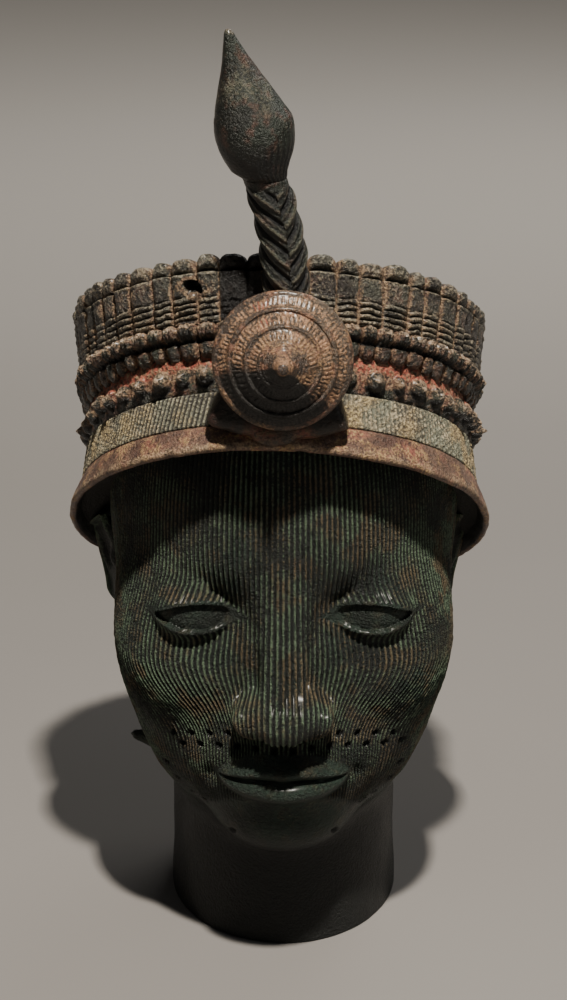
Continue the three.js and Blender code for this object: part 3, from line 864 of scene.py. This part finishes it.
def brimShape(column, row):
    h, out = along(brim["profile"], row)
    angle = evenAngle(column / brim["columns"])
    p = crownPoint(angle, h, out)
    edge = 1 - ease(h, 1, 8)
    outer = ease(out, -2, 1)
    chips = 1.1 * clamp(softNoise(p, 6, 83) - 0.5) * edge
    lift = 0.6 * softNoise(p, 22, 80) * edge + 1.2 * chips
    rough = 0.35 * roughCast(p, 81) + 0.22 * corroded(p, 84) - 0.35 * edge - chips
    p = crownPoint(angle, h + lift * outer, out + rough * outer)
    # painted shade on the underside of the brim; its lower edge is lightened, partly as wear and partly as a painted
    # highlight
    under = (row > 22) * 1.0
    marks = {
        "hollow": clamp(0.85 * under + 0.6 * bell(h - 10.6, 0.5)),
        "wearAndHighlight": clamp(0.25 + 0.45 * bell(row - 17, 3)),
        "paint": clamp(0.35 + 0.5 * softNoise(p, 12, 82) - 0.2 * edge) * (1 - under),
        "dusty": clamp(0.2 + 0.7 * softNoise(p, 5, 85)) * (1 - under),
    }
    return p, marks


topDisc = {"columns": 192, "edge": -4.6, "height": 64.4, "rings": 7, "ringDepth": 0.5}


def topShape(column, row):
    angle = evenAngle(column / topDisc["columns"])
    r = clamp(row / 40)
    under = clamp((row - 40) / 4)
    r = np.where(row > 40, 1 - under, r)
    height = topDisc["height"] + 2.5 * (1 - r ** 2) - 8 * (row > 40)
    rim = crownPoint(angle, height, np.full(len(row), topDisc["edge"]))
    opposite = crownPoint(angle + np.pi, height, np.full(len(row), topDisc["edge"]))
    middle = (rim + opposite) / 2
    p = mix(middle, rim, r[:, None])
    wave = np.cos(2 * np.pi * topDisc["rings"] * r)
    p[:, 2] += (topDisc["ringDepth"] * wave * ease(r, 0.05, 0.15) + 0.35 * roughCast(p, 90)) * (row < 40)
    marks = {"hollow": clamp(0.5 - 0.5 * wave) * 0.6, "wearAndHighlight": 0.3, "paint": 0.2}
    return p, marks


gridPiece("crown_tubes", material["tube"], (tubes["count"] * tubes["each"], 70, tubeShape))
gridPiece("crown_beads", material["bead"], (beads["count"] * beads["each"], 33, beadShape))
gridPiece("crown_knobs", material["bead"], (knobs["count"] * knobs["each"], 31, knobShape))
gridPiece("corded_band", material["cord"], (cords["count"] * cords["each"], 33, cordShape))
gridPiece("brim", material["brim"], (brim["columns"], 34, brimShape))
gridPiece("crown_top", material["tube"], (topDisc["columns"], 44, topShape))

# rosette: rings turned round a nearly level axis, which together make a blunt cone
rosette = {
    "centre": (-0.2, -92.7, 243.4), "radius": 24.4, "rise": 7.7, "columns": 288,
    "rings": [
        (0, 0, -18), (1, 0.7, -18), (3, 0.95, -4), (5, 0.99, -1.6), (7, 1, 0), (9, 0.985, 0.8),
        (11, 0.95, 1.3), (13, 0.925, 1.5), (15, 0.91, 1.6), (20, 0.805, 3.4), (22, 0.79, 4.2),
        (25, 0.772, 4.9), (28, 0.752, 5.1), (31, 0.735, 5), (33, 0.722, 4.7), (36, 0.695, 5.1),
        (42, 0.575, 7.4), (45, 0.558, 8.1), (48, 0.538, 8.6), (51, 0.52, 8.6), (53, 0.505, 8.4),
        (56, 0.455, 9.2), (61, 0.375, 10.7), (64, 0.355, 11.4), (67, 0.33, 11.9), (69, 0.305, 12),
        (71, 0.29, 12.5), (73, 0.27, 12.6), (75, 0.25, 13.1), (77, 0.225, 13.4), (79, 0.205, 13.9),
        (82, 0.165, 15), (86, 0.118, 16.6), (90, 0.095, 18.3), (93, 0.068, 19.3), (95, 0.03, 19.7), (96, 0, 19.7),
    ],
    "beaded": [(17.5, 3.4, 84, 0.6), (39, 3.8, 60, 0.65), (58.5, 3.2, 42, 0.55)],
}


def rosetteShape(column, row):
    a = column / rosette["columns"] * 2 * np.pi
    r, h = along(rosette["rings"], row)
    ring = np.array([np.sin(a) * 20, np.cos(a) * 20, row]).T
    wobble = a + 0.045 * softNoise(ring, 5, 102)
    lift = np.zeros(len(row))
    gap = np.zeros(len(row))
    for middle, spread, count, depth in rosette["beaded"]:
        near = clamp(1.4 - np.abs(row - middle) / spread * 1.1)
        crest = np.abs(np.cos(wobble * count / 2)) ** 0.8
        wear = clamp(0.95 + 0.9 * softNoise(ring, 6, 103))
        lift += near * depth * (crest - 0.35) * wear
        gap = np.maximum(gap, near * (1 - crest) ** 1.2 * wear)
    r = r * rosette["radius"] * (1 + 0.018 * softNoise(ring, 16, 104) * ease(r, 0.1, 0.4))
    cx, cy, cz = rosette["centre"]
    rise = math.radians(rosette["rise"])
    up, front = r * np.cos(a), h + lift
    y = cy + up * math.sin(rise) - front * math.cos(rise)
    z = cz + up * math.cos(rise) + front * math.sin(rise)
    p = np.array([cx + r * np.sin(a), y, z]).T
    shown = ease(h, -6, 0) * (1 - 0.8 * ease(row, 88, 95))
    p[:, 1] -= (0.25 * roughCast(p, 100) + 0.3 * corroded(p, 105)) * shown
    slope = np.gradient(np.interp(np.arange(97), *np.array(rosette["rings"])[:, [0, 2]].T))
    dip = clamp(1 - np.interp(row, np.arange(97), slope) * 3) * (row > 12) * (row < 74)
    upperLeft = ease(np.cos(a + 0.9), -0.3, 0.7)
    # dust lies on the upper side; the lower side is darkened with painted shade, as if lit from above, and the tip is
    # lightened, partly worn and partly with a painted highlight
    below = ease(np.cos(a - 3.44) + 0.2 * softNoise(ring, 9, 107), 0.3, 0.62) * ease(row, 8, 20) * (row < 90)
    marks = {
        "hollow": clamp(0.65 * gap + 0.5 * dip * (gap > 0) + 0.85 * below) * shown,
        "wearAndHighlight": clamp(0.3 + 0.9 * ease(row, 80, 90) + 0.35 * (1 - gap) * (lift > 0) - 0.6 * below) * shown,
        "paint": clamp(0.9 * gap + 0.5 * softNoise(p, 7, 101)) * shown * upperLeft * (1 - ease(row, 66, 78)),
        "dusty": clamp(0.25 + 0.6 * softNoise(p, 6, 106) - 0.5 * below) * shown,
    }
    return p, marks


gridPiece("rosette", material["rosette"], (rosette["columns"], 96, rosetteShape))

# low bow behind the rosette's lower edge
bow = {
    "turn": [0, 60, 112, 126, 132, 136, 139, 146, 157, 171, 176, 185, 193, 202, 216, 225, 229, 233, 237, 262, 300, 360],
    "reach": [
        14, 16, 20, 24, 28, 32, 35.5, 34, 32.3, 31, 32.6, 33.6, 33.4, 31.4, 33.5, 36, 35.5, 31, 26, 20, 16, 14,
    ],
    "middle": 243, "front": -91, "back": -76,
}


def bowShape(column, row):
    a = column / 160 * 360
    reach = np.interp(a, bow["turn"], bow["reach"])
    t = row / 24
    r = np.interp(t, [0, 0.5, 0.66, 0.72, 0.8, 1], [0, 0.86, 0.97, 1, 0.98, 0])
    deep = np.interp(t, [0, 0.5, 0.6, 0.68, 0.75, 0.85, 1], [0, 0, 0.06, 0.22, 0.5, 1, 1])
    x = rosette["centre"][0] + reach * r * np.sin(np.radians(a))
    up = reach * r * np.cos(np.radians(a))
    y = mix(bow["front"], bow["back"], deep) + 0.22 * (up + 30)
    p = np.array([x, y, bow["middle"] + up]).T
    p += (0.35 * roughCast(p, 110) + 0.25 * corroded(p, 112))[:, None]
    shade = 0.5 + 0.3 * ease(up, -28, -22)
    return p, {"hollow": shade, "wearAndHighlight": 0.2, "paint": 0.4 + 0.35 * softNoise(p, 6, 111)}


gridPiece("bow", material["rosette"], (160, 24, bowShape))

# plume: plaited stem and pointed bud, both leaning to one side
plume = {
    "heights": [250, 266, 282, 290, 298, 304.5, 307.3, 310.9, 315.9, 321.6, 325.8, 333, 342.2, 350.8, 354.8],
    "middles": [1.5, 1.0, -0.4, -2.1, -4.1, -6.2, -8.2, -9.1, -9.5, -9.9, -10.0, -12.0, -14.9, -17.4, -18.4],
    "fronts": [-80, -80.6, -81.9, -82.6, -83.3, -84, -83.9, -83.7, -83.4, -83.2, -83, -82.6, -82.3, -82, -82],
    "stemRadius": 7.4, "pitch": 9.8, "strandDepth": 1.5, "threads": 3, "threadDepth": 0.55, "seam": 0.3,
    "columns": 144,
    "budHeights": [303.6, 304.5, 306, 307.3, 310.9, 315.9, 321.6, 325.8, 333, 342.2, 350.8, 353.6, 354.7, 354.9],
    "budRadii": [5, 7, 8.4, 9.3, 11.1, 13.05, 13.75, 13.3, 10.2, 5.8, 2.5, 1.6, 0.8, 0],
}


def plumeAxis(z):
    return np.array([np.interp(z, plume["heights"], plume["middles"]), np.interp(z, plume["heights"], plume["fronts"]), z])


def stemShape(column, row):
    a = column / plume["columns"] * 2 * np.pi - np.pi  # 0 in front
    z = 250 + row / 150 * 55.5
    turned = (a - plume["seam"] + np.pi) % (2 * np.pi) - np.pi
    r = plume["stemRadius"]
    left = turned < 0
    climb = np.abs(turned) * r * 0.95
    q = (z - climb) / plume["pitch"] + np.where(left, 0.5, 0)
    strand = np.abs(np.sin(np.pi * q))
    thread = 0.5 - 0.5 * np.cos(2 * np.pi * (q + 0.06 * softNoise(np.array([a * 4, z, z]).T, 5, 121)) * plume["threads"])
    seam = np.minimum(np.abs(turned), np.pi - np.abs(turned)) * r
    meet = 1 - ease(seam, 0, 1.6)
    lift = plume["strandDepth"] * (strand ** 0.7 - 0.7) * (1 - 0.5 * meet) + plume["threadDepth"] * thread * strand
    collar = ease(z, 300, 303.5)
    lift = mix(lift, 0.1, collar)
    radius = (r + lift) * np.interp(row, [0, 2, 148, 150], [0.6, 1, 1, 0.9])
    p = (plumeAxis(z) + np.array([radius * np.sin(a), -radius * np.cos(a), z * 0])).T
    p += 0.15 * roughCast(p, 120)[:, None]
    marks = {
        "hollow": clamp((1 - strand ** 0.8) * 1.4 + 0.5 * (1 - thread) * strand) * (1 - collar),
        "wearAndHighlight": clamp(strand * thread * 0.9) * (1 - collar) + 0.1,
    }
    return p, marks


def budShape(column, row):
    a = column / plume["columns"] * 2 * np.pi - np.pi
    t = row / 90
    z = np.interp(t, [0, 0.12, 0.9, 1], [303.6, 306, 352.5, 354.9])
    r = np.interp(z, plume["budHeights"], plume["budRadii"])
    soft = sum(np.interp(z + s, plume["budHeights"], plume["budRadii"]) for s in (-2, -1, 1, 2)) / 4
    r = mix(r, soft, ease(z, 307, 310) * (1 - ease(z, 346, 350)))
    low = (1 - ease(z, 311, 326)) * ease(np.sin(a - 0.4), -0.7, 0.3)
    lines = np.cos(a * 34) * low
    r = np.maximum(r + 0.22 * lines * ease(r, 5, 9), 0)
    p = (plumeAxis(z) + np.array([r * np.sin(a), -r * np.cos(a), z * 0])).T
    p += 0.22 * (roughCast(p, 130) * ease(r, 0, 5))[:, None]
    # the bud is darker towards its bottom and lighter higher up; its tip is lightened with a painted highlight
    marks = {
        "hollow": clamp(-lines) * 0.8 + 0.62 * (1 - ease(z, 310, 327)),
        "wearAndHighlight": clamp(0.08 + 0.25 * lines + 0.28 * ease(z, 318, 334) + 0.4 * softNoise(p, 6, 131) + 0.8 * ease(z, 352.6, 354.4)),
    }
    return p, marks


gridPiece("plume_stem", material["plume"], (plume["columns"], 150, stemShape))
gridPiece("plume_bud", material["plume"], (plume["columns"], 90, budShape))

# blunt wedge behind the jaw: its upper edge is level, its lower edge rises to the tip
tab = {"tip": (-60.5, 5, 58.8), "length": 20, "rootRadius": 8.5, "tipRadius": 1.8, "tall": 0.85, "wide": 0.6}


def tabShape(column, row):
    a = column / 24 * 2 * np.pi
    t = row / 16
    r = mix(tab["rootRadius"], tab["tipRadius"], t) * np.sqrt(1 - ease(t, 0.9, 1) ** 2)
    x, y, z = tab["tip"]
    away = (1 - t) * tab["length"]
    drop = tab["tall"] * (tab["rootRadius"] - tab["tipRadius"]) * (1 - t)
    p = np.array([x + away, y + tab["wide"] * r * np.sin(a), z - drop + tab["tall"] * r * np.cos(a)]).T
    p += 0.3 * roughCast(p, 140)[:, None] * (1 - ease(t, 0.8, 1))[:, None]
    return p, {"wearAndHighlight": 0.2}


gridPiece("jaw_tab", material["face"], (24, 16, tabShape))

# floor, light and camera
floorRecipe = Recipe("pale_floor")
floorBack = floorRecipe.add("SeparateXYZ", {}, {"Vector": floorRecipe.place}, out=1)
floorTone = floorRecipe.blend(floorRecipe.noise(300, 2), (0.16, 0.15, 0.14), (0.19, 0.18, 0.17))
floorTone = floorRecipe.blend(floorBack.cut(0.3, 1.5), floorTone, (0.44, 0.42, 0.395))
floorRecipe.finish(Base_Color=floorTone, Roughness=0.8)
stage = bmesh.new()
bmesh.ops.create_grid(stage, x_segments=1, y_segments=1, size=6)
floorMesh = bpy.data.meshes.new("floor")
stage.to_mesh(floorMesh)
stage.free()
floor = bpy.data.objects.new("floor", floorMesh)
floor.location.z = -0.0005
bpy.context.collection.objects.link(floor)
floorMesh.materials.append(floorRecipe.material)

lights = {
    # name: (place, power, size, colour)
    "key": ((0.105, -0.72, 1.62), 68, 0.07, (1.0, 0.93, 0.83)),
    "fill": ((1.2, -1.1, 0.9), 2, 1.2, (0.88, 0.95, 1.0)),
    "rim": ((0.5, 1.1, 1.2), 9, 0.8, (1.0, 0.97, 0.92)),
}
aim = Vector((0, 0, 0.2))
for name, (place, power, size, tone) in lights.items():
    data = bpy.data.lights.new(name, "AREA")
    data.energy = power
    data.size = size
    data.color = tone
    lamp = bpy.data.objects.new(name, data)
    lamp.location = place
    lamp.rotation_euler = (aim - Vector(place)).to_track_quat("-Z", "Y").to_euler()
    bpy.context.collection.objects.link(lamp)

world = bpy.data.worlds.new("studio")
world.use_nodes = True
world.node_tree.nodes["Background"].inputs["Color"].default_value = (0.78, 0.77, 0.75, 1)
world.node_tree.nodes["Background"].inputs["Strength"].default_value = 0.09
bpy.context.scene.world = world

view = {"place": (0, -1.0, 0.523), "down": 20, "focalPixels": 2781, "frameHeight": 1000, "sensor": 36}
cameraData = bpy.data.cameras.new("camera")
cameraData.sensor_width = view["sensor"]
cameraData.lens = view["focalPixels"] * view["sensor"] / view["frameHeight"]
cameraData.clip_start = 0.01
camera = bpy.data.objects.new("camera", cameraData)
camera.location = view["place"]
camera.rotation_euler = (math.radians(90 - view["down"]), 0, 0)
bpy.context.collection.objects.link(camera)
bpy.context.scene.camera = camera

print("scene done")
